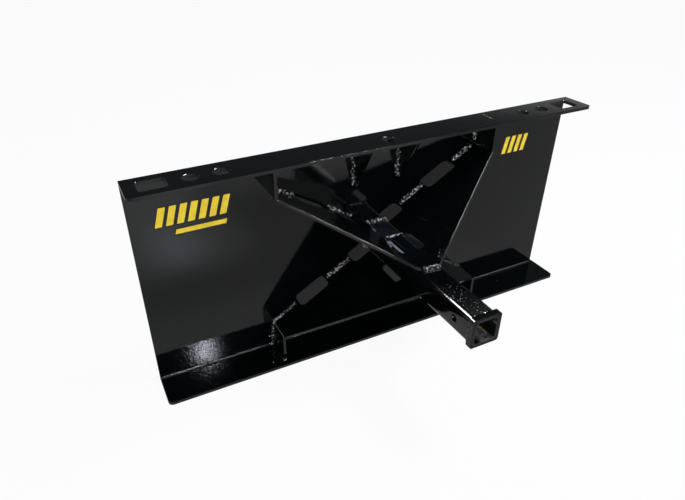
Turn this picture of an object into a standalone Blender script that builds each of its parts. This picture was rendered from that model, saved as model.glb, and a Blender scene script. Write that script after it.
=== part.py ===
"""Receiver hitch plate for a loader or tractor: a flanged steel face plate with a square receiver tube.

The tube stands out of the middle of the face plate. Two bent gussets, one above it and one below it, hold
it square, and each ends in upright legs that are welded to a flange. Every piece is cut plate or tube, and
fillet welds join them.

Frame: +X along the flanges, -Y out of the face towards the mouth of the tube, +Z up. The origin is on
the underside of the bottom flange, below the front of the face plate and halfway along the flanges. Metres.
"""

import math

import bmesh
import bpy
from mathutils import Vector

# The mounting frame: the two flanges and the face plate between them.
FLANGE_LENGTH = 1.168
FRAME_HEIGHT = 0.529
TOP_FLANGE_REACH = 0.082
TOP_FLANGE_THICKNESS = 0.0076
BOTTOM_FLANGE_REACH = 0.089
BOTTOM_FLANGE_THICKNESS = 0.0086
FLANGE_CORNER_RADIUS = 0.012
FACE_THICKNESS = 0.0064
FACE_SETBACK = 0.0085

# The openings of the top flange.
LOCK_SLOT_LENGTH = 0.057
LOCK_SLOT_WIDTH = 0.047
LOCK_SLOT_RADIUS = 0.006
LOCK_SLOT_FROM_END = 0.027
LOCK_SLOT_FROM_FACE = 0.0155
PIN_HOLE_DIAMETER = 0.0355
PIN_HOLE_OFFSETS = (0.389, 0.452)
PIN_HOLE_FROM_FACE = 0.0405
CENTRE_HOLE_DIAMETER = 0.030
CENTRE_HOLE_FROM_FACE = 0.044

# The receiver tube and its mouth.
TUBE_SIZE = 0.0635
TUBE_WALL = 0.00635
TUBE_CORNER_RADIUS = 0.0115
TUBE_REACH = 0.434
TUBE_HEIGHT = 0.265
HITCH_PIN_DIAMETER = 0.0165
HITCH_PIN_SETBACK = 0.0615
COLLAR_WALL = 0.0038
COLLAR_DEPTH = 0.014
COLLAR_INNER_RADIUS = 0.0055
COLLAR_OUTER_RADIUS = 0.007

# The gussets, bent from one cut sheet each.
GUSSET_THICKNESS = 0.0066
GUSSET_BEND_RADIUS = 0.003
GUSSET_FLAT_HALF = 0.0254
GUSSET_LEG_OFFSET = 0.287
GUSSET_LEG_HEIGHT = 0.067
GUSSET_LEG_DEPTH = 0.071
GUSSET_TIP_REACH = 0.241
GUSSET_TIP_RADIUS = 0.010
GUSSET_REAR_CUT = 0.0927
NOTCH_DEPTH = 0.0265
NOTCH_RADIUS = 0.012
INNER_NOTCH_END = 0.0675
OUTER_NOTCH = (0.1395, 0.2165)
BEND_SLOT_LENGTH = 0.0700
BEND_SLOT_WIDTH = 0.0255
BEND_SLOT_RADIUS = 0.0080
BEND_SLOT_CENTRE = 0.1345

# The two small ribs under the top flange.
RIB_OFFSET = 0.0617
RIB_THICKNESS = 0.0064
RIB_HEIGHT = 0.1100
RIB_DEPTH = 0.0765
RIB_NOSE = 0.0125
RIB_NOSE_RADIUS = 0.0075

# Fillet welds.
SEAM_WELD_LEG = 0.0050
STITCH_WELD_LEG = 0.0065
LEG_WELD_LEG = 0.0055
COLLAR_WELD_LEG = 0.0030
WELD_BULGE = 0.18
WELD_END_TAPER = 0.0040
WELD_END_SIZE = 0.35
WELD_MARGIN = 0.002
WELD_STEP = 0.012

# Common to every piece.
GAP = 0.0003
EDGE_BREAK = 0.0006
BREAK_ANGLE = math.radians(40)
SMOOTH_ANGLE = math.radians(32)
WELD_SMOOTH_ANGLE = math.radians(60)
ARC_STEP = math.radians(15)
HOLE_STEPS = 28
BEND_SEGMENTS = 5
WELD_FACETS = 4

COAT_BLACK = (0.012, 0.013, 0.014)
COAT_WELD = (0.030, 0.031, 0.032)

GUSSET_NEUTRAL_RADIUS = GUSSET_BEND_RADIUS + GUSSET_THICKNESS / 2


def clear_scene():
    for leftover in list(bpy.data.objects):
        bpy.data.objects.remove(leftover, do_unlink=True)


def coat(name, colour, roughness):
    """Glossy black powder coat, one material for each piece."""
    material = bpy.data.materials.new(name)
    material.use_nodes = True
    shader = material.node_tree.nodes["Principled BSDF"]
    shader.inputs["Base Color"].default_value = (*colour, 1.0)
    shader.inputs["Roughness"].default_value = roughness
    shader.inputs["Metallic"].default_value = 0.0
    material.diffuse_color = (*colour, 1.0)
    return material


def add_piece(name, shape, colour=COAT_BLACK, roughness=0.12, smooth_angle=SMOOTH_ANGLE):
    """Turn a finished bmesh into one named object with its own coat."""
    bmesh.ops.recalc_face_normals(shape, faces=shape.faces)
    if shape.calc_volume(signed=True) < 0:
        bmesh.ops.reverse_faces(shape, faces=shape.faces)
    mesh = bpy.data.meshes.new(name)
    shape.to_mesh(mesh)
    shape.free()
    mesh.materials.append(coat(name + "_coat", colour, roughness))
    mesh.shade_smooth()
    mesh.set_sharp_from_angle(angle=smooth_angle)
    piece = bpy.data.objects.new(name, mesh)
    bpy.context.scene.collection.objects.link(piece)
    return piece


def break_edges(piece, width=EDGE_BREAK):
    """The small round that blasting and powder coat leave on a cut edge."""
    bevel = piece.modifiers.new("edge_break", "BEVEL")
    bevel.width = width
    bevel.segments = 1
    bevel.limit_method = "ANGLE"
    bevel.angle_limit = BREAK_ANGLE


def rounded(corners):
    """An outline from (x, y, radius) corners, each turned into an arc that touches both of its sides."""
    points = []
    for index, (x, y, radius) in enumerate(corners):
        corner = Vector((x, y))
        if radius <= 0:
            points.append(corner)
            continue
        before = Vector(corners[index - 1][:2])
        after = Vector(corners[(index + 1) % len(corners)][:2])
        to_before = (before - corner).normalized()
        to_after = (after - corner).normalized()
        half = to_before.angle(to_after) / 2
        start = corner + to_before * radius / math.tan(half)
        centre = corner + (to_before + to_after).normalized() * radius / math.sin(half)
        turn = math.pi - 2 * half
        steps = max(2, math.ceil(turn / ARC_STEP))
        spoke = start - centre
        sense = 1 if to_before.cross(to_after) < 0 else -1
        for step in range(steps + 1):
            angle = sense * turn * step / steps
            across = Vector((-spoke.y, spoke.x))
            points.append(centre + spoke * math.cos(angle) + across * math.sin(angle))
    return points


def rectangle(low_x, low_y, high_x, high_y, radii=(0, 0, 0, 0)):
    """A rectangle's outline, its radii given from the low corner anticlockwise."""
    corners = ((low_x, low_y), (high_x, low_y), (high_x, high_y), (low_x, high_y))
    return rounded([(x, y, radius) for (x, y), radius in zip(corners, radii)])


def circle(x, y, diameter):
    centre = Vector((x, y))
    turns = [2 * math.pi * step / HOLE_STEPS for step in range(HOLE_STEPS)]
    return [centre + Vector((math.cos(turn), math.sin(turn))) * diameter / 2 for turn in turns]


def cut_sheet(outline, openings=()):
    """A flat sheet in the XY plane: one outline, filled round its openings."""
    shape = bmesh.new()
    edges = []
    for loop in (outline, *openings):
        corners = [shape.verts.new((point.x, point.y, 0)) for point in loop]
        edges += [shape.edges.new(pair) for pair in zip(corners, corners[1:] + corners[:1])]
    bmesh.ops.triangle_fill(shape, edges=edges, use_beauty=True, normal=(0, 0, 1))
    return shape


def thicken(shape, thickness, start=0.0):
    """Extrude a flat sheet along Z, from start to start + thickness."""
    grown = bmesh.ops.extrude_face_region(shape, geom=list(shape.faces))
    lifted = [item for item in grown["geom"] if isinstance(item, bmesh.types.BMVert)]
    bmesh.ops.translate(shape, verts=lifted, vec=(0, 0, thickness))
    bmesh.ops.translate(shape, verts=list(shape.verts), vec=(0, 0, start))
    return shape


def turn_upright(shape):
    """Stand a sheet up: its Y becomes +Z, and its thickness becomes -Y."""
    for vert in shape.verts:
        vert.co = Vector((vert.co.x, -vert.co.z, vert.co.y))


def bead(name, stations, closed=False):
    """A fillet weld through stations of (corner of the two walls, first side, second side, leg)."""
    shape = bmesh.new()
    sections = []
    for corner, first, second, leg in stations:
        root = corner + (first + second) * GAP
        section = [root]
        for step in range(WELD_FACETS + 1):
            share = step / WELD_FACETS
            bulge = 1 + WELD_BULGE * math.sin(math.pi * share)
            section.append(root + (first * (1 - share) + second * share) * leg * bulge)
        sections.append([shape.verts.new(point) for point in section])
    following = sections[1:] + (sections[:1] if closed else [])
    for here, ahead in zip(sections, following):
        for index in range(len(here)):
            beside = (index + 1) % len(here)
            shape.faces.new((here[index], here[beside], ahead[beside], ahead[index]))
    if not closed:
        shape.faces.new(sections[0])
        shape.faces.new(sections[-1])
    add_piece(name, shape, COAT_WELD, 0.25, WELD_SMOOTH_ANGLE)


def straight_bead(name, start, end, first, second, leg):
    """A fillet weld along a straight corner, with ends that taper off."""
    start, end, first, second = Vector(start), Vector(end), Vector(first), Vector(second)
    length = (end - start).length
    steps = max(2, round((length - 2 * WELD_END_TAPER) / WELD_STEP))
    middle = [WELD_END_TAPER + (length - 2 * WELD_END_TAPER) * step / steps for step in range(steps + 1)]
    shares = [(0.0, WELD_END_SIZE), *((place, 1.0) for place in middle), (length, WELD_END_SIZE)]
    along = (end - start).normalized()
    bead(name, [(start + along * place, first, second, leg * size) for place, size in shares])


def make_face_plate():
    """The upright plate, flush with the flanges at the left end and set back at the right."""
    low = BOTTOM_FLANGE_THICKNESS + GAP
    high = FRAME_HEIGHT - TOP_FLANGE_THICKNESS - GAP
    outline = rectangle(-FLANGE_LENGTH / 2, low, FLANGE_LENGTH / 2 - FACE_SETBACK, high)
    shape = thicken(cut_sheet(outline), FACE_THICKNESS, start=-FACE_THICKNESS)
    turn_upright(shape)
    break_edges(add_piece("face_plate", shape))


def flange_outline(reach):
    front = FLANGE_CORNER_RADIUS
    half = FLANGE_LENGTH / 2
    return rectangle(-half, -reach, half, FACE_THICKNESS, (front, front, 0, 0))


def make_top_flange():
    """The shelf along the top: a lock slot and two pin holes at each end, and one hole in the middle."""
    openings = [circle(0, -CENTRE_HOLE_FROM_FACE, CENTRE_HOLE_DIAMETER)]
    outer = FLANGE_LENGTH / 2 - LOCK_SLOT_FROM_END
    for side in (-1, 1):
        near, far = sorted((side * outer, side * (outer - LOCK_SLOT_LENGTH)))
        front = -LOCK_SLOT_FROM_FACE - LOCK_SLOT_WIDTH
        openings.append(rectangle(near, front, far, -LOCK_SLOT_FROM_FACE, (LOCK_SLOT_RADIUS,) * 4))
        for offset in PIN_HOLE_OFFSETS:
            openings.append(circle(side * offset, -PIN_HOLE_FROM_FACE, PIN_HOLE_DIAMETER))
    shape = cut_sheet(flange_outline(TOP_FLANGE_REACH), openings)
    thicken(shape, TOP_FLANGE_THICKNESS, start=FRAME_HEIGHT - TOP_FLANGE_THICKNESS)
    break_edges(add_piece("top_flange", shape))


def make_bottom_flange():
    """The shelf along the bottom, which the part stands on."""
    shape = thicken(cut_sheet(flange_outline(BOTTOM_FLANGE_REACH)), BOTTOM_FLANGE_THICKNESS)
    break_edges(add_piece("bottom_flange", shape))


def square(half, radius):
    """A square outline with round corners, centred on the axis of the tube."""
    return rectangle(-half, TUBE_HEIGHT - half, half, TUBE_HEIGHT + half, (radius,) * 4)


def make_receiver_tube():
    """Square tube from the face plate to the mouth, drilled through its sides for the hitch pin."""
    half = TUBE_SIZE / 2
    inner_radius = TUBE_CORNER_RADIUS - TUBE_WALL
    shape = cut_sheet(square(half, TUBE_CORNER_RADIUS), [square(half - TUBE_WALL, inner_radius)])
    thicken(shape, TUBE_REACH - GAP, start=GAP)
    turn_upright(shape)
    tube = add_piece("receiver_tube", shape)

    drill_shape = bmesh.new()
    bmesh.ops.create_cone(
        drill_shape,
        cap_ends=True,
        segments=HOLE_STEPS,
        radius1=HITCH_PIN_DIAMETER / 2,
        radius2=HITCH_PIN_DIAMETER / 2,
        depth=2 * TUBE_SIZE,
    )
    drill = add_piece("hitch_pin_drill", drill_shape)
    drill.location = (0, HITCH_PIN_SETBACK - TUBE_REACH, TUBE_HEIGHT)
    drill.rotation_euler = (0, math.pi / 2, 0)
    drill.hide_render = True
    drill.display_type = "WIRE"
    cut = tube.modifiers.new("hitch_pin_hole", "BOOLEAN")
    cut.operation = "DIFFERENCE"
    cut.object = drill
    break_edges(tube)


def make_mouth_collar():
    """The square ring round the mouth, its inner corners tighter than the tube's, which leaves small gaps."""
    inner = TUBE_SIZE / 2 + GAP
    outer = TUBE_SIZE / 2 + COLLAR_WALL
    shape = cut_sheet(square(outer, COLLAR_OUTER_RADIUS), [square(inner, COLLAR_INNER_RADIUS)])
    thicken(shape, COLLAR_DEPTH, start=TUBE_REACH - COLLAR_DEPTH)
    turn_upright(shape)
    break_edges(add_piece("mouth_collar", shape))


class Sheet:
    """The cut sheet of one gusset and its folds: a flat on the tube, two wings, and legs up to a flange.

    A place is measured on the flat sheet, outwards from its middle. The legs keep their height, so the
    wings' angle follows from the room between the tube and the flange.
    """

    def __init__(self, upward):
        self.sense = 1 if upward else -1
        top_room = FRAME_HEIGHT - TOP_FLANGE_THICKNESS - TUBE_HEIGHT
        room = top_room if upward else TUBE_HEIGHT - BOTTOM_FLANGE_THICKNESS
        self.base = TUBE_SIZE / 2 + GAP + GUSSET_THICKNESS / 2
        rise = room - GAP - self.base - GUSSET_LEG_HEIGHT
        run = GUSSET_LEG_OFFSET - GUSSET_FLAT_HALF
        self.wing_angle = math.atan2(rise, run)
        leg_turn = math.pi / 2 - self.wing_angle
        self.wing_trim = GUSSET_NEUTRAL_RADIUS * math.tan(self.wing_angle / 2)
        leg_trim = GUSSET_NEUTRAL_RADIUS * math.tan(leg_turn / 2)
        wing = math.hypot(run, rise) - self.wing_trim - leg_trim
        flat_end = GUSSET_FLAT_HALF - self.wing_trim
        wing_start = flat_end + GUSSET_NEUTRAL_RADIUS * self.wing_angle
        wing_end = wing_start + wing
        leg_start = wing_end + GUSSET_NEUTRAL_RADIUS * leg_turn
        self.runs = ((flat_end, self.wing_angle), (wing, leg_turn), (math.inf, 0.0))
        self.wing_bend = (flat_end, wing_start)
        self.leg_bend = (wing_end, leg_start)
        self.end = leg_start + GUSSET_LEG_HEIGHT - leg_trim

    def on_wing(self, offset):
        """The place of a point of the wing that ends up this far from the middle plane."""
        return self.wing_bend[1] - self.wing_trim + (offset - GUSSET_FLAT_HALF) / math.cos(self.wing_angle)

    def heading(self, place):
        """How far the folded sheet has turned from its flat at this place."""
        wing_share = (place - self.wing_bend[0]) / (self.wing_bend[1] - self.wing_bend[0])
        leg_share = (place - self.leg_bend[0]) / (self.leg_bend[1] - self.leg_bend[0])
        leg_turn = math.pi / 2 - self.wing_angle
        return self.wing_angle * min(max(wing_share, 0), 1) + leg_turn * min(max(leg_share, 0), 1)

    def folded(self, place, lift):
        """Where a point of the flat sheet ends up: its X, and its Z over the ground."""
        side = -1 if place < 0 else 1
        left = abs(place)
        x = height = heading = 0.0
        for run, turn in self.runs:
            straight = min(left, run)
            x += straight * math.cos(heading)
            height += straight * math.sin(heading)
            left -= straight
            angle = min(left / GUSSET_NEUTRAL_RADIUS, turn)
            x += GUSSET_NEUTRAL_RADIUS * (math.sin(heading + angle) - math.sin(heading))
            height += GUSSET_NEUTRAL_RADIUS * (math.cos(heading) - math.cos(heading + angle))
            heading += angle
            left -= angle * GUSSET_NEUTRAL_RADIUS
        x -= lift * math.sin(heading)
        height += lift * math.cos(heading)
        return side * x, TUBE_HEIGHT + self.sense * (self.base + height)


def gusset_outline(sheet):
    """The right half of the cut sheet from the tip to the rear cut, then the left half as its mirror."""
    tube_bend = sum(sheet.wing_bend) / 2
    leg_bend = sum(sheet.leg_bend) / 2
    inner_end = sheet.on_wing(INNER_NOTCH_END)
    outer_start, outer_end = (sheet.on_wing(offset) for offset in OUTER_NOTCH)
    right = [
        (tube_bend, -GUSSET_TIP_REACH, GUSSET_TIP_RADIUS),
        (leg_bend, -GUSSET_LEG_DEPTH, 0),
        (sheet.end, -GUSSET_LEG_DEPTH, 0),
        (sheet.end, -GAP, 0),
        (outer_end, -GAP, 0),
        (outer_end, -NOTCH_DEPTH, NOTCH_RADIUS),
        (outer_start, -NOTCH_DEPTH, NOTCH_RADIUS),
        (outer_start, -GAP, 0),
        (inner_end, -GAP, 0),
        (inner_end, -NOTCH_DEPTH, NOTCH_RADIUS),
        (tube_bend, -NOTCH_DEPTH, 0),
        (tube_bend, -GUSSET_REAR_CUT, 0),
    ]
    left = [(-x, y, corner) for x, y, corner in reversed(right)]
    return rounded(right + left)


def make_gusset(name, sheet):
    """Cut the sheet flat, with a slot on each bend that meets the tube, then fold it."""
    tube_bend = sum(sheet.wing_bend) / 2
    rear = -BEND_SLOT_CENTRE + BEND_SLOT_LENGTH / 2
    front = rear - BEND_SLOT_LENGTH
    slots = []
    for middle in (-tube_bend, tube_bend):
        near, far = middle - BEND_SLOT_WIDTH / 2, middle + BEND_SLOT_WIDTH / 2
        slots.append(rectangle(near, front, far, rear, (BEND_SLOT_RADIUS,) * 4))
    shape = cut_sheet(gusset_outline(sheet), slots)
    creases = []
    for start, end in (sheet.wing_bend, sheet.leg_bend):
        creases += [start + (end - start) * step / BEND_SEGMENTS for step in range(BEND_SEGMENTS + 1)]
    for place in (side * crease for crease in creases for side in (-1, 1)):
        bmesh.ops.bisect_plane(
            shape,
            geom=list(shape.verts) + list(shape.edges) + list(shape.faces),
            dist=1e-7,
            plane_co=(place, 0, 0),
            plane_no=(1, 0, 0),
        )
    thicken(shape, GUSSET_THICKNESS, start=-GUSSET_THICKNESS / 2)
    bmesh.ops.triangulate(shape, faces=list(shape.faces))
    for vert in shape.verts:
        x, z = sheet.folded(vert.co.x, vert.co.z)
        vert.co = Vector((x, vert.co.y, z))
    break_edges(add_piece(name, shape))


def make_ribs():
    """The two small triangular ribs between the face plate and the top flange."""
    top = FRAME_HEIGHT - TOP_FLANGE_THICKNESS - GAP
    foot = top - RIB_HEIGHT
    outline = rounded([
        (-GAP, top, 0),
        (-RIB_DEPTH, top, 0),
        (-RIB_NOSE, foot, RIB_NOSE_RADIUS),
        (-GAP, foot, 0),
    ])
    for name, side in (("left_rib", -1), ("right_rib", 1)):
        shape = thicken(cut_sheet(outline), RIB_THICKNESS, start=-RIB_THICKNESS / 2)
        for vert in shape.verts:
            vert.co = Vector((side * RIB_OFFSET + vert.co.z, vert.co.x, vert.co.y))
        break_edges(add_piece(name, shape))


def make_seam_welds():
    """The seams between the face plate and the flanges, broken where a leg or a rib stands."""
    half_leg = GUSSET_THICKNESS / 2 + GAP
    half_rib = RIB_THICKNESS / 2 + GAP
    leg_edges = (GUSSET_LEG_OFFSET - half_leg, GUSSET_LEG_OFFSET + half_leg)
    rib_edges = (RIB_OFFSET - half_rib, RIB_OFFSET + half_rib)
    left_end = -FLANGE_LENGTH / 2 + 2 * GAP
    right_end = FLANGE_LENGTH / 2 - FACE_SETBACK - 2 * GAP
    bottom_spans = {
        "left": (left_end, -leg_edges[1]),
        "middle": (-leg_edges[0], leg_edges[0]),
        "right": (leg_edges[1], right_end),
    }
    top_spans = {
        "left": (left_end, -leg_edges[1]),
        "inner_left": (-leg_edges[0], -rib_edges[1]),
        "middle": (-rib_edges[0], rib_edges[0]),
        "inner_right": (rib_edges[1], leg_edges[0]),
        "right": (leg_edges[1], right_end),
    }
    rows = (
        ("bottom", bottom_spans, BOTTOM_FLANGE_THICKNESS, (0, 0, 1)),
        ("top", top_spans, FRAME_HEIGHT - TOP_FLANGE_THICKNESS, (0, 0, -1)),
    )
    for row, spans, height, upright in rows:
        for place, (start, end) in spans.items():
            name = f"{row}_seam_weld_{place}"
            straight_bead(name, (start, 0, height), (end, 0, height), upright, (0, -1, 0), SEAM_WELD_LEG)


def root_bead(name, sheet, side, start, end, leg):
    """A fillet weld on the face plate along the upper side of a folded sheet, from start to end on it."""
    lift = sheet.sense * GUSSET_THICKNESS / 2
    places = {start, start + WELD_END_TAPER, end - WELD_END_TAPER, end}
    steps = max(1, round((end - start) / WELD_STEP))
    places |= {start + (end - start) * step / steps for step in range(1, steps)}
    first, last = sheet.leg_bend
    places |= {first + (last - first) * step / BEND_SEGMENTS for step in range(BEND_SEGMENTS + 1)}
    stations = []
    for place in sorted(place for place in places if start <= place <= end):
        x, z = sheet.folded(side * place, lift)
        heading = sheet.heading(place)
        away = Vector((-side * sheet.sense * math.sin(heading), 0, math.cos(heading)))
        to_end = min(place - start, end - place) / WELD_END_TAPER
        size = WELD_END_SIZE + (1 - WELD_END_SIZE) * min(to_end, 1)
        stations.append((Vector((x, 0, z)), away, Vector((0, -1, 0)), leg * size))
    bead(name, stations)


def make_gusset_root_welds(row, sheet):
    """The stitch welds of each tab and each leg. Below, the tab's outer one rounds the bend."""
    inside_bend = sheet.sense > 0
    wing_stop = sheet.leg_bend[0] - STITCH_WELD_LEG - WELD_MARGIN if inside_bend else sheet.leg_bend[1]
    leg_start = sheet.leg_bend[1] + (STITCH_WELD_LEG if inside_bend else WELD_MARGIN)
    leg_stop = sheet.end - SEAM_WELD_LEG * (1 + WELD_BULGE) - GAP
    inner = (sheet.on_wing(INNER_NOTCH_END) + WELD_MARGIN, sheet.on_wing(OUTER_NOTCH[0]) - WELD_MARGIN)
    outer = (sheet.on_wing(OUTER_NOTCH[1]) + WELD_MARGIN, wing_stop)
    for hand, side in (("left", -1), ("right", 1)):
        root_bead(f"{row}_{hand}_wing_weld_inner", sheet, side, *inner, STITCH_WELD_LEG)
        root_bead(f"{row}_{hand}_wing_weld_outer", sheet, side, *outer, STITCH_WELD_LEG)
        root_bead(f"{row}_{hand}_leg_weld_root", sheet, side, leg_start, leg_stop, LEG_WELD_LEG)


def make_gusset_flange_welds(row, sheet, flange, end_name):
    """The weld of each leg along its flange: inside the legs above and outside them below."""
    clear = SEAM_WELD_LEG * (1 + WELD_BULGE) + 2 * GAP
    front = -GUSSET_LEG_DEPTH + WELD_MARGIN
    upright = (0, 0, -sheet.sense)
    for hand, side in (("left", -1), ("right", 1)):
        x = side * (GUSSET_LEG_OFFSET - sheet.sense * GUSSET_THICKNESS / 2)
        away = (-side * sheet.sense, 0, 0)
        name = f"{row}_{hand}_leg_weld_{end_name}"
        straight_bead(name, (x, -clear, flange), (x, front, flange), away, upright, LEG_WELD_LEG)


def make_rib_welds():
    """The welds on the left side of each rib, one down the face plate and one along the top flange."""
    top = FRAME_HEIGHT - TOP_FLANGE_THICKNESS
    foot = top - RIB_HEIGHT
    front = -RIB_DEPTH + 2 * WELD_MARGIN
    clear = SEAM_WELD_LEG * (1 + WELD_BULGE) + 2 * GAP
    left, forward, down = (-1, 0, 0), (0, -1, 0), (0, 0, -1)
    for hand, side in (("left", -1), ("right", 1)):
        x = side * RIB_OFFSET - RIB_THICKNESS / 2
        root, head = f"{hand}_rib_weld_root", f"{hand}_rib_weld_head"
        straight_bead(root, (x, 0, foot), (x, 0, top - clear), left, forward, STITCH_WELD_LEG)
        straight_bead(head, (x, -clear, top), (x, front, top), left, down, SEAM_WELD_LEG)


def make_tube_welds():
    """The welds round the tube: at its root and behind the collar."""
    half = TUBE_SIZE / 2
    rings = (
        ("tube_root_weld", 0.0, -1, STITCH_WELD_LEG),
        ("collar_weld", -TUBE_REACH + COLLAR_DEPTH, 1, COLLAR_WELD_LEG),
    )
    for name, y, away, leg in rings:
        outline = square(half, TUBE_CORNER_RADIUS)
        core = half - TUBE_CORNER_RADIUS
        stations = []
        for point in outline:
            x, z = point.x, point.y - TUBE_HEIGHT
            normal = Vector((x - max(-core, min(core, x)), 0, z - max(-core, min(core, z)))).normalized()
            stations.append((Vector((point.x, y, point.y)), normal, Vector((0, away, 0)), leg))
        bead(name, stations, closed=True)


def make_gusset_tube_welds(row, sheet):
    """The welds across the flat of a gusset, behind it and in front of it, on the tube."""
    reach = GUSSET_FLAT_HALF - GUSSET_THICKNESS / 2 * math.sin(sheet.wing_angle / 2) - 2 * GAP
    height = TUBE_HEIGHT + sheet.sense * TUBE_SIZE / 2
    upright = (0, 0, sheet.sense)
    for place, y, away in (("rear", -GUSSET_REAR_CUT, 1), ("tip", -GUSSET_TIP_REACH, -1)):
        name = f"{row}_gusset_{place}_weld"
        straight_bead(name, (-reach, y, height), (reach, y, height), upright, (0, away, 0), STITCH_WELD_LEG)


clear_scene()
make_face_plate()
make_top_flange()
make_bottom_flange()
make_receiver_tube()
make_mouth_collar()
make_tube_welds()
for gusset_row, gusset_sheet, gusset_flange, leg_weld in (
    ("upper", Sheet(upward=True), FRAME_HEIGHT - TOP_FLANGE_THICKNESS, "head"),
    ("lower", Sheet(upward=False), BOTTOM_FLANGE_THICKNESS, "foot"),
):
    make_gusset(gusset_row + "_gusset", gusset_sheet)
    make_gusset_root_welds(gusset_row, gusset_sheet)
    make_gusset_flange_welds(gusset_row, gusset_sheet, gusset_flange, leg_weld)
    make_gusset_tube_welds(gusset_row, gusset_sheet)
make_ribs()
make_rib_welds()
make_seam_welds()
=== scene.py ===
"""The looks of the receiver hitch plate: gloss black coat over welded steel, on a pale studio floor."""

import math
import random

import bmesh
import bpy
from mathutils import Matrix, Vector


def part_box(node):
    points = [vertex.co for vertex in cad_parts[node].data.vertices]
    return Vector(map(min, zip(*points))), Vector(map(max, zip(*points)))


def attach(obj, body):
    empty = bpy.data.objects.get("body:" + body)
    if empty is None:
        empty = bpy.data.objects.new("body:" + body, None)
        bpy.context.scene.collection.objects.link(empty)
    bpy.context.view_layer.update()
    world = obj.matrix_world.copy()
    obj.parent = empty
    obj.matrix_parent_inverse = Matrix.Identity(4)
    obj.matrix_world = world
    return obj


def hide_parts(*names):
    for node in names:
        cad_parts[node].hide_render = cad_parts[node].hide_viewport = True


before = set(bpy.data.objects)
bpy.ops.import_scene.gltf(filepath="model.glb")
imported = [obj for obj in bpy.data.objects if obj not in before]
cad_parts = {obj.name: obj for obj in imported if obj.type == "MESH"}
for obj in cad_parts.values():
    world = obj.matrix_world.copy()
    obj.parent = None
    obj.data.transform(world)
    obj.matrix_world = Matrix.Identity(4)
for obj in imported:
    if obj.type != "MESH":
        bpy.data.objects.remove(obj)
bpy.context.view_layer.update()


# Camera.
# It stands to the left of the mouth and looks down on the face, at the height of a person's chest.
CAMERA_PLACE = (-0.6627, -1.0797, 0.9989)
CAMERA_DEGREES = (58.050, 0.536, -25.865)

camera_data = bpy.data.cameras.new("camera")
camera_data.sensor_width = 36
camera_data.lens = 30.055
camera_data.shift_x = 0.0290
camera_data.shift_y = -0.0003
camera = bpy.data.objects.new("camera", camera_data)
camera.location = CAMERA_PLACE
camera.rotation_euler = [math.radians(angle) for angle in CAMERA_DEGREES]
bpy.context.scene.collection.objects.link(camera)
bpy.context.scene.camera = camera


# Studio floor.
# A wide pale floor. To the camera and in the gloss it is nearly white paper, which takes only a little
# shade.
FLOOR_SIZE = 40
FLOOR_COLOUR = (0.80, 0.80, 0.80, 1)
FLOOR_ROUGHNESS = 0.9
FLOOR_GLOSS = 0.2
PAPER_COLOUR = (1, 1, 1, 1)
PAPER_SHARE = 0.94


def new_material(name):
    """A new node material, its tree and its Principled shader."""
    material = bpy.data.materials.new(name)
    material.use_nodes = True
    return material, material.node_tree, material.node_tree.nodes["Principled BSDF"]


def calculated(tree, operation, first, second):
    """What a math node makes of two values, each a node's output or a plain number."""
    node = tree.nodes.new("ShaderNodeMath")
    node.operation = operation
    for socket, value in zip(node.inputs, (first, second)):
        if isinstance(value, float):
            socket.default_value = value
        else:
            tree.links.new(value, socket)
    return node.outputs[0]


def glowing(tree, colour):
    """A surface that gives off this colour."""
    node = tree.nodes.new("ShaderNodeEmission")
    node.inputs["Color"].default_value = colour
    return node.outputs[0]


def mixed(tree, share, first, second):
    """Two surfaces in one, with this share of the second."""
    node = tree.nodes.new("ShaderNodeMixShader")
    for socket, value in zip(node.inputs, (share, first, second)):
        tree.links.new(value, socket)
    return node.outputs[0]


def stage_plane(name, size, height):
    """A square sheet that lies level at a height, for the studio."""
    bpy.ops.object.select_all(action="DESELECT")
    bpy.ops.mesh.primitive_plane_add(size=size, location=(0, 0, height))
    sheet = bpy.context.object
    sheet.name = name
    return sheet


floor = stage_plane("floor", FLOOR_SIZE, 0)
floor_material, tree, floor_shader = new_material("pale_floor")
floor_shader.inputs["Base Color"].default_value = FLOOR_COLOUR
floor_shader.inputs["Roughness"].default_value = FLOOR_ROUGHNESS
floor_shader.inputs["Specular IOR Level"].default_value = FLOOR_GLOSS
rays = tree.nodes.new("ShaderNodeLightPath")
seen = calculated(tree, "MAXIMUM", rays.outputs["Is Camera Ray"], rays.outputs["Is Glossy Ray"])
seen = calculated(tree, "MAXIMUM", seen, rays.outputs["Is Transmission Ray"])
seen = calculated(tree, "MULTIPLY", seen, PAPER_SHARE)
surface = mixed(tree, seen, floor_shader.outputs[0], glowing(tree, PAPER_COLOUR))
tree.links.new(surface, tree.nodes["Material Output"].inputs["Surface"])
floor.data.materials.append(floor_material)


# Grey card, painted shade for the gloss.
# A sheet of grey card lies on the floor, and only the gloss sees it, as painted shade on the floor. It
# is open or thin where the coat mirrors a brighter floor, and it glows in one patch to the left of the
# mouth, as a painted pool of light.
CARD_SIZE = 8
CARD_HEIGHT = 0.0005
# The card's grey is painted shade on the floor, as the gloss mirrors it.
PAINTED_SHADE_COLOUR = (0.42, 0.42, 0.405, 1)
CARD_GAP = (("X", -0.60, -0.22, 0.15), ("Y", -2.2, -0.48, 0.14))
CARD_THIN = (("X", -0.20, 0.95, 0.15), ("Y", -2.2, -0.92, 0.16))
THIN_SHARE = 0.6
CARD_NEAR = (("Y", -0.24, 0.40, 0.10), ("X", -0.80, 0.45, 0.15))
NEAR_SHARE = 0.22
# The glow is a painted pool of light on the floor, as the gloss mirrors it.
PAINTED_LIGHT_PATCH = (("X", -0.46, -0.34, 0.08), ("Y", -0.76, -0.50, 0.10))
PAINTED_LIGHT_COLOUR = (1.35, 1.45, 1.60, 1)


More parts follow.
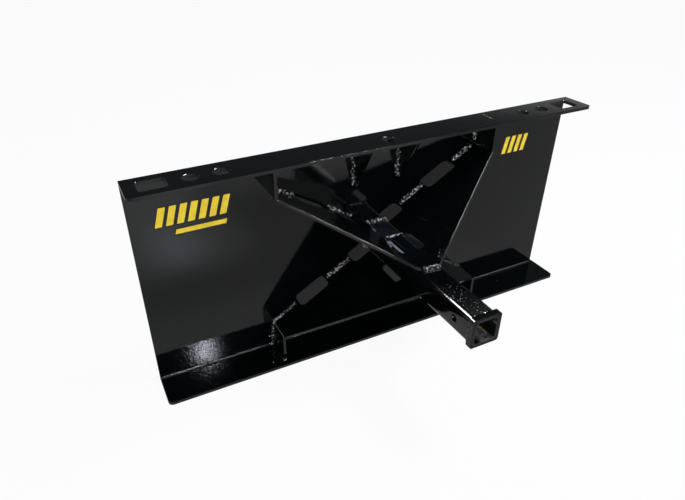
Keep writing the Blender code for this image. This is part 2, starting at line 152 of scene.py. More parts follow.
def band(tree, value, low, high, soft):
    """1 where a value lies between low and high, with soft ends."""
    ends = []
    for start, stop in ((low - soft, low + soft), (high + soft, high - soft)):
        end = tree.nodes.new("ShaderNodeMapRange")
        end.interpolation_type = "SMOOTHSTEP"
        end.inputs["From Min"].default_value = start
        end.inputs["From Max"].default_value = stop
        tree.links.new(value, end.inputs["Value"])
        ends.append(end.outputs["Result"])
    return product(tree, *ends)


def product(tree, *values):
    """The product of several node values."""
    total = values[0]
    for value in values[1:]:
        total = calculated(tree, "MULTIPLY", total, value)
    return total


def zone(tree, axes, spans):
    """1 inside a box given by its spans (axis, low, high, soft)."""
    bands = [band(tree, axes.outputs[axis], low, high, soft) for axis, low, high, soft in spans]
    return product(tree, *bands)


def object_axes(tree):
    """The node of Object coordinates, and the node that takes them apart."""
    place = tree.nodes.new("ShaderNodeTexCoord")
    axes = tree.nodes.new("ShaderNodeSeparateXYZ")
    tree.links.new(place.outputs["Object"], axes.inputs[0])
    return place, axes


# Painted shade, with a painted pool of light, that only the gloss sees.
shade_card = stage_plane("reflected_shade_card", CARD_SIZE, CARD_HEIGHT)
shade_card_material, tree, _ = new_material("reflected_shade_card")
tree.nodes.clear()
_, axes = object_axes(tree)
open_part = zone(tree, axes, CARD_GAP)
for spans, share_open in ((CARD_THIN, THIN_SHARE), (CARD_NEAR, NEAR_SHARE)):
    thin_part = calculated(tree, "MULTIPLY", zone(tree, axes, spans), share_open)
    open_part = calculated(tree, "MAXIMUM", open_part, thin_part)
clear = tree.nodes.new("ShaderNodeBsdfTransparent").outputs[0]
surface = mixed(tree, open_part, glowing(tree, PAINTED_SHADE_COLOUR), clear)
surface = mixed(tree, zone(tree, axes, PAINTED_LIGHT_PATCH), surface, glowing(tree, PAINTED_LIGHT_COLOUR))
output = tree.nodes.new("ShaderNodeOutputMaterial")
tree.links.new(surface, output.inputs["Surface"])
shade_card.data.materials.append(shade_card_material)
shade_card.visible_camera = False
shade_card.visible_diffuse = False
shade_card.visible_shadow = False


# Room.
# A pale band of wall runs round the floor, and above it the room is dark, so the coat stays black. The
# camera sees white behind it all.
WALL_TOP = 0.235
DARK_FROM = 0.31
ROOM_RADIANCE = (0.80, 0.80, 0.80, 1)
DARK_RADIANCE = (0.06, 0.062, 0.065, 1)
BACKDROP_COLOUR = (1, 1, 1, 1)

world = bpy.data.worlds.new("room")
world.use_nodes = True
bpy.context.scene.world = world
tree = world.node_tree
direction = tree.nodes.new("ShaderNodeTexCoord")
split = tree.nodes.new("ShaderNodeSeparateXYZ")
walls = tree.nodes.new("ShaderNodeValToRGB")
walls.color_ramp.elements[0].position = WALL_TOP
walls.color_ramp.elements[0].color = ROOM_RADIANCE
walls.color_ramp.elements[1].position = DARK_FROM
walls.color_ramp.elements[1].color = DARK_RADIANCE
tree.links.new(direction.outputs["Generated"], split.inputs[0])
tree.links.new(split.outputs["Z"], walls.inputs["Fac"])
rays = tree.nodes.new("ShaderNodeLightPath")
backdrop = tree.nodes.new("ShaderNodeMix")
backdrop.data_type = "RGBA"
backdrop.inputs["B"].default_value = BACKDROP_COLOUR
tree.links.new(rays.outputs["Is Camera Ray"], backdrop.inputs["Factor"])
tree.links.new(walls.outputs["Color"], backdrop.inputs["A"])
tree.links.new(backdrop.outputs["Result"], tree.nodes["Background"].inputs["Color"])


# Lamps.
# Two panels high on the right light the arrises and the welds, and three suns add even light from above,
# low and left. A far lamp, a strip behind and a dim window give the gloss its smaller glints.
HIGH_ALONG = (0.07, -0.32, -0.157)
BACK_ALONG = (-0.866, 0, -0.5)
SUN_STRENGTH = 0.5
WIDE_SUN = math.radians(8)
NARROW_SUN = math.radians(3)
FAR_COLOUR = (0.86, 0.89, 1.0)
WINDOW_COLOUR = (0.80, 0.86, 1.0)


def lamp_at(name, kind, place, target, energy, along=(0, 0, 1), **settings):
    """A lamp at a place, aimed at a target, with its long side along a direction."""
    data = bpy.data.lights.new(name, kind)
    data.energy = energy
    for setting, value in settings.items():
        setattr(data, setting, value)
    lamp = bpy.data.objects.new(name, data)
    back = (Vector(place) - Vector(target)).normalized()
    side = Vector(along).cross(back).normalized()
    turned = Matrix((side, back.cross(side), back)).transposed().to_4x4()
    lamp.matrix_world = Matrix.Translation(place) @ turned
    lamp.visible_camera = False
    bpy.context.scene.collection.objects.link(lamp)
    return lamp


def panel(name, place, target, energy, width, length, along=(0, 0, 1)):
    """A flat softbox."""
    return lamp_at(name, "AREA", place, target, energy, along, shape="RECTANGLE", size=width, size_y=length)


panel("softbox", (1.465, -0.576, 2.936), (0, 0, 0.3), 64, 0.75, 1.03, HIGH_ALONG)
strip = panel("arris_strip", (1.522, -0.563, 2.93), (0, -0.15, 0.38), 360, 1.85, 0.86, HIGH_ALONG)
strip.visible_diffuse = False
for name, place, spread in (
    ("overhead", (0.465, 0.124, 0.872), WIDE_SUN),
    ("low_lamp", (0.465, -0.826, 0.30), WIDE_SUN),
    ("left_lamp", (-0.64, -0.72, 0.27), NARROW_SUN),
):
    lamp_at(name, "SUN", place, (0, 0, 0), SUN_STRENGTH, angle=spread)
far = panel("far_lamp", (0.34, -4.53, 3.93), (0, 0, 0.2), 48, 0.15, 0.13)
far.data.color = FAR_COLOUR
strip = panel("back_strip", (-0.92, 0.98, 2.09), (-0.03, -0.34, 0.29), 58, 0.36, 1.1, BACK_ALONG)
strip.visible_diffuse = False
window = panel("window", (1.87, -2.92, 2.3), (0, 0, 0.3), 0.6, 1.0, 0.6)
window.data.color = WINDOW_COLOUR


# Plates, collar, gussets and ribs, under gloss black powder coat.
# Steel plate and sheet, cut out, folded where it bends, welded up and then coated in one. The coat is
# sprayed as powder and baked, which leaves a faint orange peel.
COAT_COLOUR = (0.0014, 0.0022, 0.0026, 1)
COAT_ROUGHNESS = 0.06
COAT_GLOSS = 0.42
PEEL_SCALE = 190
PEEL_HEIGHT = 0.00009
MERGE_DISTANCE = 0.00002
FLAT_ANGLE = math.radians(0.6)
SMOOTH_ANGLE = math.radians(35)


def black_coat(name, roughness=COAT_ROUGHNESS, gloss=COAT_GLOSS, scale=PEEL_SCALE, height=PEEL_HEIGHT):
    """The coat's shader, over a fine uneven skin of this scale and height."""
    material, tree, shader = new_material(name)
    shader.inputs["Base Color"].default_value = COAT_COLOUR
    shader.inputs["Roughness"].default_value = roughness
    shader.inputs["Specular IOR Level"].default_value = gloss
    place = tree.nodes.new("ShaderNodeTexCoord")
    peel = tree.nodes.new("ShaderNodeTexNoise")
    peel.inputs["Scale"].default_value = scale
    peel.inputs["Detail"].default_value = 2
    bump = tree.nodes.new("ShaderNodeBump")
    bump.inputs["Distance"].default_value = height
    tree.links.new(place.outputs["Object"], peel.inputs["Vector"])
    tree.links.new(peel.outputs["Fac"], bump.inputs["Height"])
    tree.links.new(bump.outputs["Normal"], shader.inputs["Normal"])
    return material


plate_coat = black_coat("plate_coat")


def dressed(node, material):
    """A merged copy of a CAD node, round where it is rolled or drilled, that stands for the node."""
    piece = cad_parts[node].copy()
    piece.data = piece.data.copy()
    for key in list(piece.keys()):
        del piece[key]
    piece.name = node + "_coated"
    piece.parent = None
    bpy.context.scene.collection.objects.link(piece)
    bpy.ops.object.select_all(action="DESELECT")
    piece.select_set(True)
    bpy.context.view_layer.objects.active = piece
    bpy.ops.object.mode_set(mode="EDIT")
    bpy.ops.mesh.select_all(action="SELECT")
    bpy.ops.mesh.remove_doubles(threshold=MERGE_DISTANCE)
    bpy.ops.mesh.customdata_custom_splitnormals_clear()
    bpy.ops.mesh.dissolve_limited(angle_limit=FLAT_ANGLE)
    bpy.ops.object.mode_set(mode="OBJECT")
    bpy.ops.object.shade_smooth_by_angle(angle=SMOOTH_ANGLE)
    piece.data.materials.clear()
    piece.data.materials.append(material)
    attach(piece, "root")
    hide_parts(node)


for node in (
    "face_plate",
    "bottom_flange",
    "mouth_collar",
    "upper_gusset",
    "lower_gusset",
    "left_rib",
    "right_rib",
):
    dressed(node, plate_coat)


# Top flange.
# A laser-cut strip with lock slots and pin holes, coated like the rest, but dull on the rough walls of the
# cuts. A yellow pen line crosses it on the right.
PEN_YELLOW = (0.22, 0.17, 0.03, 1)
PEN_LINE = (("X", 0.2930, 0.2960, 0.0008), ("Y", -0.044, -0.004, 0.002), ("Z", 0.5285, 0.530, 0.0002))
PEN_GRAIN = (300, 0.30, 0.50)
HOLE_WALLS = (("X", -0.572, 0.572, 0.003), ("Y", -0.072, -0.006, 0.001), ("Z", 0.5205, 0.5284, 0.0003))
WALL_ROUGHNESS = 0.55


def over(tree, below, mask, colour):
    """A colour laid over what is below, where the mask is 1."""
    blend = tree.nodes.new("ShaderNodeMix")
    blend.data_type = "RGBA"
    tree.links.new(mask, blend.inputs["Factor"])
    if isinstance(below, tuple):
        blend.inputs["A"].default_value = below
    else:
        tree.links.new(below, blend.inputs["A"])
    blend.inputs["B"].default_value = colour
    return blend.outputs["Result"]


def noise_mask(tree, place, scale, low, high):
    """1 where a noise of this scale is above high, 0 below low."""
    cloud = tree.nodes.new("ShaderNodeTexNoise")
    cloud.inputs["Scale"].default_value = scale
    cloud.inputs["Detail"].default_value = 3
    tree.links.new(place.outputs["Object"], cloud.inputs["Vector"])
    cut = tree.nodes.new("ShaderNodeMapRange")
    cut.inputs["From Min"].default_value = low
    cut.inputs["From Max"].default_value = high
    tree.links.new(cloud.outputs["Fac"], cut.inputs["Value"])
    return cut.outputs["Result"]


flange_coat = black_coat("flange_coat")
tree = flange_coat.node_tree
shader = tree.nodes["Principled BSDF"]
place, axes = object_axes(tree)
pen = product(tree, zone(tree, axes, PEN_LINE), noise_mask(tree, place, *PEN_GRAIN))
tree.links.new(over(tree, COAT_COLOUR, pen, PEN_YELLOW), shader.inputs["Base Color"])
wall = tree.nodes.new("ShaderNodeMapRange")
wall.inputs["To Min"].default_value = COAT_ROUGHNESS
wall.inputs["To Max"].default_value = WALL_ROUGHNESS
tree.links.new(zone(tree, axes, HOLE_WALLS), wall.inputs["Value"])
tree.links.new(wall.outputs["Result"], shader.inputs["Roughness"])
dressed("top_flange", flange_coat)


# Receiver tube.
# A length of square steel tube, coated with the plates. Fine dust has settled on top near the mouth. The
# other layers are painted light: a bluish painted reflection on top behind the gussets, a pale painted
# highlight in the left bend slot, painted light on the inside floor of the mouth, and a short yellow
# painted reflection there.
TUBE_TOP = 0.288
# Each layer, of dust or of painted light, is its zone, its grain (scale, low, high) and its colour.
# Painted reflection: a faint bluish mottle on top of the tube behind the gussets.
ROOT_PAINTED_REFLECTION = (
    (("Y", -0.17, -0.004, 0.006), ("Z", TUBE_TOP, 0.30, 0.002)),
    (160, 0.30, 0.62),
    (0.014, 0.016, 0.024, 1),
)
# Painted highlight: the tube's lit top left corner, seen through the left bend slot.
SLOT_PAINTED_HIGHLIGHT = (
    (("Y", -0.172, -0.097, 0.002), ("X", -0.036, -0.0160, 0.0015), ("Z", TUBE_TOP, 0.30, 0.003)),
    (190, 0.25, 0.55),
    (0.22, 0.24, 0.30, 1),
)
FINE_DUST = (
    (("Y", -0.52, -0.392, 0.045), ("X", -0.05, 0.022, 0.020), ("Z", 0.294, 0.30, 0.001)),
    (420, 0.30, 0.60),
    (0.024, 0.024, 0.024, 1),
)
# Painted light: a lighter grey on the inside floor of the mouth, near its front.
MOUTH_FLOOR_PAINTED_LIGHT = (
    (("X", -0.008, 0.021, 0.007), ("Z", 0.2388, 0.2412, 0.0004), ("Y", -0.440, -0.240, 0.05)),
    (90, 0.20, 0.60),
    (0.26, 0.26, 0.275, 1),
)
# Painted reflection: a short yellow strip on the inside floor of the mouth.
MOUTH_PAINTED_YELLOW_REFLECTION = (
    (("X", 0.0175, 0.0215, 0.0008), ("Z", 0.2388, 0.2416, 0.0004), ("Y", -0.417, -0.380, 0.004)),
    (200, 0.30, 0.55),
    (0.60, 0.48, 0.14, 1),
)
SPECK_ZONE = (("Y", -0.425, -0.305, 0.02), ("X", -0.034, 0.012, 0.014), ("Z", 0.294, 0.30, 0.001))
SPECK_SCALE = 340
SPECK_SIZE = 0.29
SPECK_CORE = 0.7
SPECK_SHARE = 0.80
SPECK_SOFT = 0.02
SPECK_COLOUR = (0.55, 0.55, 0.55, 1)


def dust_and_painted_light(tree, place, axes, below, layers):
    """Layers of dust or of painted light, each (zone, grain, colour), laid in turn over what is below."""
    for spans, grain, colour in layers:
        mask = product(tree, zone(tree, axes, spans), noise_mask(tree, place, *grain))
        below = over(tree, below, mask, colour)
    return below


tube_coat = black_coat("tube_coat")
tree = tube_coat.node_tree
place, axes = object_axes(tree)
# A painted reflection and a painted highlight on top, then fine dust, over the coat.
colour = dust_and_painted_light(tree, place, axes, COAT_COLOUR, (ROOT_PAINTED_REFLECTION, SLOT_PAINTED_HIGHLIGHT, FINE_DUST))
specks = tree.nodes.new("ShaderNodeTexVoronoi")
specks.inputs["Scale"].default_value = SPECK_SCALE
tree.links.new(place.outputs["Object"], specks.inputs["Vector"])
near = tree.nodes.new("ShaderNodeMapRange")
near.inputs["From Min"].default_value = SPECK_SIZE
near.inputs["From Max"].default_value = SPECK_SIZE * SPECK_CORE
tree.links.new(specks.outputs["Distance"], near.inputs["Value"])
chance = tree.nodes.new("ShaderNodeSeparateXYZ")
tree.links.new(specks.outputs["Color"], chance.inputs[0])
chosen = tree.nodes.new("ShaderNodeMapRange")
chosen.inputs["From Min"].default_value = SPECK_SHARE
chosen.inputs["From Max"].default_value = SPECK_SHARE + SPECK_SOFT
tree.links.new(chance.outputs["X"], chosen.inputs["Value"])
speckled = product(tree, zone(tree, axes, SPECK_ZONE), near.outputs["Result"], chosen.outputs["Result"])
colour = over(tree, colour, speckled, SPECK_COLOUR)
# On the inside floor of the mouth, painted light and a painted yellow reflection.
colour = dust_and_painted_light(tree, place, axes, colour, (MOUTH_FLOOR_PAINTED_LIGHT, MOUTH_PAINTED_YELLOW_REFLECTION))
tree.links.new(colour, tree.nodes["Principled BSDF"].inputs["Base Color"])
dressed("receiver_tube", tube_coat)


# Weld beads.
# Each is a row of puddles that froze one over the next, laid by hand in a corner of two plates and coated
# with them. They take the place of the plain fillets, on the same lines.
PUDDLE_PITCH = 0.0058
PUDDLE_LENGTH = 0.0039
PUDDLE_WIDTH = 0.92
PUDDLE_RISE = 0.66
PUDDLE_SEAT = 0.42
PUDDLE_WANDER = 0.22
PUDDLE_TILT = 0.3
SHORT_OF_END = 1e-6
BEAD_VOXEL = 0.0007
WELDER_SEED = 7
WEAK_SIZES = (0.62, 0.45, 0.70, 0.40, 0.30)
BEAD_GRAIN = 250
RIPPLE_SCALE = 300
RIPPLE_HEIGHT = 0.0007
SEAM_SCALE = 260
SEAM_HEIGHT = 0.0002
# Pale specks on the beads are painted glints, in place of highlights on the ripples; greyer ones at the
# tips.
GLINT_COLOUR = (0.82, 0.83, 0.87, 1)
TIP_GLINT_COLOUR = (0.40, 0.40, 0.42, 1)


def bead_coat(name, roughness, gloss, low, high, glint):
    """The coat on a rippled bead, with painted glints of this colour where the noise is above low to high.
    """
    material = black_coat(name, roughness, gloss, RIPPLE_SCALE, RIPPLE_HEIGHT)
    tree = material.node_tree
    place = tree.nodes.new("ShaderNodeTexCoord")
    glinted = over(tree, COAT_COLOUR, noise_mask(tree, place, BEAD_GRAIN, low, high), glint)
    tree.links.new(glinted, tree.nodes["Principled BSDF"].inputs["Base Color"])
    return material


# The specks in these bead coats are painted glints.
weld_coat = bead_coat("weld_coat", roughness=0.13, gloss=0.7, low=0.55, high=0.59, glint=GLINT_COLOUR)
dull_coat = bead_coat("dull_weld_coat", roughness=0.20, gloss=0.30, low=0.59, high=0.62, glint=GLINT_COLOUR)
tip_coat = bead_coat("tip_weld_coat", roughness=0.26, gloss=0.14, low=0.57, high=0.60, glint=TIP_GLINT_COLOUR)
seam_coat = black_coat("seam_coat", roughness=0.12, gloss=0.6, scale=SEAM_SCALE, height=SEAM_HEIGHT)
dull_seam_coat = black_coat(
    "dull_seam_coat", roughness=0.22, gloss=0.08, scale=SEAM_SCALE, height=SEAM_HEIGHT
)
hand = random.Random(WELDER_SEED)


def puddle():
    """One frozen puddle of weld, a round lump of unit radius."""
    bpy.ops.object.select_all(action="DESELECT")
    bpy.ops.mesh.primitive_uv_sphere_add(segments=12, ring_count=8, radius=1, location=(0, 0, 0))
    return bpy.context.object


def joined(name, parts):
    """The parts made one object of this name, with their places in its mesh."""
    bpy.ops.object.select_all(action="DESELECT")
    for part in parts:
        part.select_set(True)
    bpy.context.view_layer.objects.active = parts[0]
    bpy.ops.object.join()
    bpy.ops.object.transform_apply(location=True, rotation=True, scale=True)
    whole = bpy.context.object
    whole.name = name
    return whole


def fused(lumps, voxel, material):
    """Overlapping lumps melted into one smooth skin of a material."""
    remesh = lumps.modifiers.new("fused", "REMESH")
    remesh.mode = "VOXEL"
    remesh.voxel_size = voxel
    bpy.ops.object.modifier_apply(modifier=remesh.name)
    bpy.ops.object.shade_smooth()
    lumps.data.materials.clear()
    lumps.data.materials.append(material)


def lay_bead(node, stations, leg, pitch=PUDDLE_PITCH, wander=PUDDLE_WANDER, material=weld_coat, weak=0.0):
    """A bead along stations of (corner point, direction out of the corner), in place of a CAD fillet.

    Its leg is how far it reaches along each wall. Over its first share, weak, the bead is a row of
    small bits, as where the arc nearly broke off.
    """
    lump = puddle()
    lumps = []
    lengths = [(b[0] - a[0]).length for a, b in zip(stations, stations[1:])]
    total = sum(lengths)
    inset = 0 if stations[0][0] == stations[-1][0] else PUDDLE_LENGTH
    count = max(2, round((total - 2 * inset) / pitch))
    for number in range(count + 1):
        place = min(inset + (total - 2 * inset) * number / count, total - SHORT_OF_END)
        index = 0
        while index < len(lengths) - 1 and place > lengths[index]:
            place -= lengths[index]
            index += 1
        share = place / lengths[index]
        (here, out), (ahead, next_out) = stations[index], stations[index + 1]
        travel = (ahead - here).normalized()
        out = out.lerp(next_out, share).normalized()
        across = travel.cross(out)
        size = 1 + hand.uniform(-wander, wander)
        if number < weak * count:
            size *= WEAK_SIZES[number % len(WEAK_SIZES)]
        drift = across * leg * hand.uniform(-wander, wander)
        centre = here.lerp(ahead, share) + out * leg * PUDDLE_SEAT + drift
        turned = Matrix((travel, across, out)).transposed().to_4x4()
        roll = Matrix.Rotation(hand.uniform(-PUDDLE_TILT, PUDDLE_TILT), 4, "Z")
        tilt = roll @ Matrix.Rotation(hand.uniform(-PUDDLE_TILT, PUDDLE_TILT), 4, "Y")
        sides = (PUDDLE_LENGTH * size, leg * PUDDLE_WIDTH * size, leg * PUDDLE_RISE * size, 1)
        copy = lump.copy()
        copy.data = lump.data.copy()
        copy.matrix_world = Matrix.Translation(centre) @ turned @ tilt @ Matrix.Diagonal(sides)
        bpy.context.scene.collection.objects.link(copy)
        lumps.append(copy)
    bpy.data.objects.remove(lump)
    bead = joined(node + "_bead", lumps)
    fused(bead, BEAD_VOXEL, material)
    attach(bead, "root")
    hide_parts(node)


def corner_line(node, first, second):
    """The stations of a straight bead, whose two walls face along these axes, from its fillet's own box."""
    low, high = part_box(node)
    out = Vector(first) + Vector(second)
    ends = []
    for end in (low, high):
        corner = Vector(end)
        for axis in range(3):
            if out[axis] > 0:
                corner[axis] = low[axis]
            elif out[axis] < 0:
                corner[axis] = high[axis]
        ends.append((corner, out.normalized()))
    return ends


# The seams and the beads along the legs, the ribs and the gussets' flats.
SEAM_LEG = 0.0046
THIN_LEG = 0.0034
SEAM_PITCH = 0.0040
SEAM_WANDER = 0.08
STITCH_LEG = 0.0076
UPRIGHT_LEG = 0.0062
LEG_COATS = {"lower_left_leg_weld_root": dull_coat, "lower_left_leg_weld_foot": dull_seam_coat}
UP, LEFT, FORWARD = (0, 0, 1), (-1, 0, 0), (0, -1, 0)
DOWN, RIGHT, BACKWARD = (0, 0, -1), (1, 0, 0), (0, 1, 0)

for part in ("left", "middle", "right"):
    name = f"bottom_seam_weld_{part}"
    leg, coat = (THIN_LEG, dull_seam_coat) if part == "right" else (SEAM_LEG, seam_coat)
    lay_bead(name, corner_line(name, UP, FORWARD), leg, SEAM_PITCH, SEAM_WANDER, coat)
for part in ("left", "inner_left", "middle", "inner_right", "right"):
    name = f"top_seam_weld_{part}"
    lay_bead(name, corner_line(name, DOWN, FORWARD), SEAM_LEG, SEAM_PITCH, SEAM_WANDER, seam_coat)
for hand_side, inward, outward in (("left", RIGHT, LEFT), ("right", LEFT, RIGHT)):
    for name, first, second, leg in (
        (f"upper_{hand_side}_leg_weld_root", inward, FORWARD, UPRIGHT_LEG),
        (f"upper_{hand_side}_leg_weld_head", inward, DOWN, UPRIGHT_LEG),
        (f"lower_{hand_side}_leg_weld_root", outward, FORWARD, UPRIGHT_LEG),
        (f"lower_{hand_side}_leg_weld_foot", outward, UP, UPRIGHT_LEG),
        (f"{hand_side}_rib_weld_root", LEFT, FORWARD, STITCH_LEG),
        (f"{hand_side}_rib_weld_head", LEFT, DOWN, SEAM_LEG),
    ):
        coat = dull_coat if "rib" in name else LEG_COATS.get(name, weld_coat)
        lay_bead(name, corner_line(name, first, second), leg, material=coat)
for row, upright in (("upper", UP), ("lower", DOWN)):
    name = f"{row}_gusset_rear_weld"
    lay_bead(name, corner_line(name, upright, BACKWARD), STITCH_LEG)
    name = f"{row}_gusset_tip_weld"
    lay_bead(name, corner_line(name, upright, FORWARD), STITCH_LEG, material=tip_coat)

# The stitches along the roots of the four wings, on the lines of their fillets.
WING_ANGLE = math.radians(30.44)
FILLET_LEG = 0.0065
WING_WEAK = {"upper_left_wing_weld_inner": 0.45}
WING_COATS = {"lower_right_wing_weld_outer": dull_seam_coat}

for row, sense in (("upper", 1), ("lower", -1)):
    for hand_side, side in (("left", -1), ("right", 1)):
        along = Vector((side * math.cos(WING_ANGLE), 0, sense * math.sin(WING_ANGLE)))
        away = Vector((-side * sense * math.sin(WING_ANGLE), 0, math.cos(WING_ANGLE)))
        out = (away + Vector(FORWARD)).normalized()
        for part in ("inner", "outer"):
            name = f"{row}_{hand_side}_wing_weld_{part}"
            low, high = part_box(name)
            # Along X the fillet's box holds its length and its thickness, FILLET_LEG away from the wing.
            low_x, high_x = low.x, high.x
            if away.x > 0:
                high_x -= away.x * FILLET_LEG
            else:
                low_x -= away.x * FILLET_LEG
            near_x, far_x = (low_x, high_x) if side > 0 else (high_x, low_x)
            length = abs(far_x - near_x) / math.cos(WING_ANGLE)
            start_z = low.z if sense > 0 else low.z + length * math.sin(WING_ANGLE)
            start = Vector((near_x, 0, start_z))
            stations = [(start, out), (start + along * length, out)]
            coat = WING_COATS.get(name, weld_coat)
            lay_bead(name, stations, STITCH_LEG, material=coat, weak=WING_WEAK.get(name, 0.0))

# The beads round the tube, at its root and at the collar's back.
TUBE_HALF = 0.03175
TUBE_MIDDLE = 0.265
TUBE_CORNER = 0.0115
CORNER_STEPS = 4
COLLAR_BACK = -0.420
COLLAR_LEG = 0.003

for name, y, away, leg in (
    ("tube_root_weld", 0.0, -1, STITCH_LEG),
    ("collar_weld", COLLAR_BACK, 1, COLLAR_LEG),
):
    stations = []
    core = TUBE_HALF - TUBE_CORNER
    for quarter in range(4):
        for step in range(CORNER_STEPS + 1):
            angle = math.pi / 2 * (quarter + step / CORNER_STEPS)
            centre_x = core * (1 if quarter in (0, 3) else -1)
            centre_z = core * (1 if quarter in (0, 1) else -1)
            radial = Vector((math.cos(angle), 0, math.sin(angle)))
            point = Vector((centre_x, y, TUBE_MIDDLE + centre_z)) + radial * TUBE_CORNER
            stations.append((point, (radial + Vector((0, away, 0))).normalized()))
    stations.append(stations[0])
    lay_bead(name, stations, leg)


# Ground weld at the mouth.
# A thin ring of weld metal. The collar is welded to the tube's end in front too, and that weld is ground
# flush before coating.
GROUND_HALF = 0.00115
GROUND_DEPTH = 0.0016
GROUND_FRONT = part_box("mouth_collar")[0].y
RING_OFFSET = 0.00015
RING_SEGMENTS = 5
FRONT_OR_BACK = 0.9


def pick(piece, kind, wanted):
    """In edit mode, selects just the edges or the faces of a piece for which wanted is true."""
    bpy.ops.mesh.select_all(action="DESELECT")
    shape = bmesh.from_edit_mesh(piece.data)
    shape.select_mode = {kind}
    for item in shape.edges if kind == "EDGE" else shape.faces:
        item.select = wanted(item)
    bmesh.update_edit_mesh(piece.data)


def round_through_edges(piece, depth, radius, segments):
    """Rounds the edges that run through a piece of this depth, from its front to its back."""
    pick(piece, "EDGE", lambda edge: abs(edge.verts[0].co.y - edge.verts[1].co.y) > depth / 2)
    bpy.ops.mesh.bevel(offset=radius, segments=segments, affect="EDGES")


outer = 2 * (TUBE_HALF + RING_OFFSET + GROUND_HALF)
middle = (0, GROUND_FRONT + GROUND_DEPTH / 2, TUBE_MIDDLE)
bpy.ops.object.select_all(action="DESELECT")
bpy.ops.mesh.primitive_cube_add(size=1, location=middle, scale=(outer, GROUND_DEPTH, outer))
ring = bpy.context.object
ring.name = "ground_mouth_weld"
bpy.ops.object.transform_apply(location=True, rotation=True, scale=True)
bpy.ops.object.mode_set(mode="EDIT")
round_through_edges(ring, GROUND_DEPTH, TUBE_CORNER + GROUND_HALF, RING_SEGMENTS)
pick(ring, "FACE", lambda face: abs(face.normal.y) > FRONT_OR_BACK)
bpy.ops.mesh.inset(thickness=2 * GROUND_HALF)
bpy.ops.mesh.bridge_edge_loops()
bpy.ops.mesh.select_all(action="SELECT")
bpy.ops.mesh.normals_make_consistent(inside=False)
bpy.ops.object.mode_set(mode="OBJECT")
bpy.ops.object.shade_smooth_by_angle(angle=SMOOTH_ANGLE)
ring.data.materials.append(plate_coat)
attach(ring, "root")


# Weld spatter.
# Small drops of steel thrown from the arc, stuck to the plates and coated over, with larger drips at the
# foot of the lower left leg. Each is given as (x, y, z, radius).
SPATTER = (
    (-0.2890, -0.0710, 0.0098, 0.0040),
    (-0.3190, -0.0670, 0.0090, 0.0024),
    (-0.3140, -0.0615, 0.0088, 0.0011),
    (-0.2620, -0.0880, 0.4375, 0.0014),
    (-0.2450, -0.0990, 0.4275, 0.0009),
    (0.4110, -0.0400, 0.0090, 0.0014),
    (0.3520, -0.0200, 0.0088, 0.0010),
    (-0.2950, -0.0050, 0.0120, 0.0048),
    (-0.3020, -0.0035, 0.0115, 0.0032),
    (-0.2930, -0.0130, 0.0105, 0.0030),
    (-0.3010, -0.0004, 0.0350, 0.0015),
    (-0.3080, -0.0003, 0.0520, 0.0011),
    (-0.2960, -0.0004, 0.0450, 0.0012),
    (0.0450, -0.2100, 0.3162, 0.0011),
    (0.0400, -0.2150, 0.3133, 0.0008),
    (0.0500, -0.2040, 0.3190, 0.0009),
    (0.0330, -0.2220, 0.3092, 0.0010),
)
DROP_LEAST, DROP_MOST = 0.8, 1.2
SPATTER_VOXEL = 0.0003

drops = []
for x, y, z, radius in SPATTER:
    drop = puddle()
    bpy.ops.transform.resize(value=[radius * hand.uniform(DROP_LEAST, DROP_MOST) for _ in range(3)])
    bpy.ops.transform.translate(value=(x, y, z))
    drops.append(drop)
spatter = joined("weld_spatter", drops)
fused(spatter, SPATTER_VOXEL, weld_coat)
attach(spatter, "root")


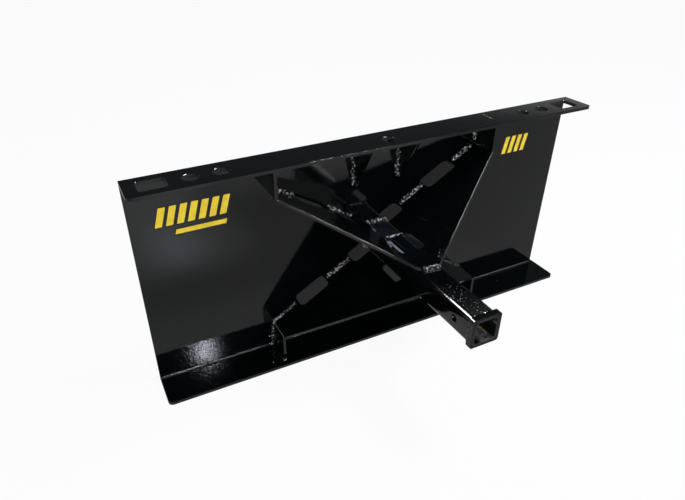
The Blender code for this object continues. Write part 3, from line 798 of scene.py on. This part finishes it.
# Marks on the face plate.
# Two plain vinyl stickers, cut as rows of slanted yellow bars on a dark edge, and pressed on over the coat.
# Each bar is given as (x, z, width, height, slant), from its lower left corner, with its top pushed right.
VINYL_THICKNESS = 0.00016
VINYL_EDGE = 0.0030
VINYL_YELLOW = (0.98, 0.72, 0.034, 1)
VINYL_NAVY = (0.004, 0.006, 0.016, 1)
VINYL_ROUGHNESS = 0.42
VINYL_GLOSS = 0.35
FADE = 0.86
FADE_GRAIN = (60, 0.40, 0.70)
BAR_ROUNDING = 0.12
BAR_SEGMENTS = 3
LEFT_ROW = [(-0.532 + 0.0232 * number, 0.412, 0.0150, 0.044, 0.013) for number in range(7)]
LEFT_LINE = (-0.492, 0.388, 0.112, 0.011, 0.003)
RIGHT_ROW = [(0.383 + 0.0205 * number, 0.404, 0.0125, 0.046, 0.009) for number in range(4)]


def vinyl(name, colour):
    """Satin printed vinyl, very slightly uneven."""
    material, tree, shader = new_material(name)
    shader.inputs["Roughness"].default_value = VINYL_ROUGHNESS
    shader.inputs["Specular IOR Level"].default_value = VINYL_GLOSS
    place = tree.nodes.new("ShaderNodeTexCoord")
    faded = tuple(channel * FADE for channel in colour[:3]) + (1,)
    uneven = over(tree, colour, noise_mask(tree, place, *FADE_GRAIN), faded)
    tree.links.new(uneven, shader.inputs["Base Color"])
    return material


yellow = vinyl("yellow_vinyl", VINYL_YELLOW)
navy = vinyl("navy_vinyl", VINYL_NAVY)


def slanted_bar(bar, depth, grow, material):
    """One bar of a sticker, of this depth, grown by an edge all round."""
    x, z, width, height, slant = bar
    centre = (x + width / 2, -depth / 2 - VINYL_THICKNESS / 4, z + height / 2)
    size = (width + 2 * grow, depth, height + 2 * grow)
    bpy.ops.object.select_all(action="DESELECT")
    bpy.ops.mesh.primitive_cube_add(size=1, location=centre, scale=size)
    block = bpy.context.object
    bpy.ops.object.transform_apply(location=True, rotation=True, scale=True)
    bpy.ops.object.mode_set(mode="EDIT")
    bpy.ops.mesh.select_all(action="DESELECT")
    shape = bmesh.from_edit_mesh(block.data)
    for vert in shape.verts:
        vert.select = vert.co.z > z + height / 2
    shape.select_flush(True)
    bmesh.update_edit_mesh(block.data)
    bpy.ops.transform.translate(value=(slant * size[2] / height, 0, 0))
    round_through_edges(block, depth, min(width, height) * BAR_ROUNDING, BAR_SEGMENTS)
    bpy.ops.object.mode_set(mode="OBJECT")
    block.data.materials.append(material)
    return block


for name, bars in (("left_sticker", LEFT_ROW + [LEFT_LINE]), ("right_sticker", RIGHT_ROW)):
    layers = []
    for bar in bars:
        layers.append(slanted_bar(bar, VINYL_THICKNESS / 2, VINYL_EDGE, navy))
        layers.append(slanted_bar(bar, VINYL_THICKNESS, 0, yellow))
    sticker = joined(name, layers)
    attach(sticker, "root")


bpy.context.scene.view_settings.view_transform = "Standard"
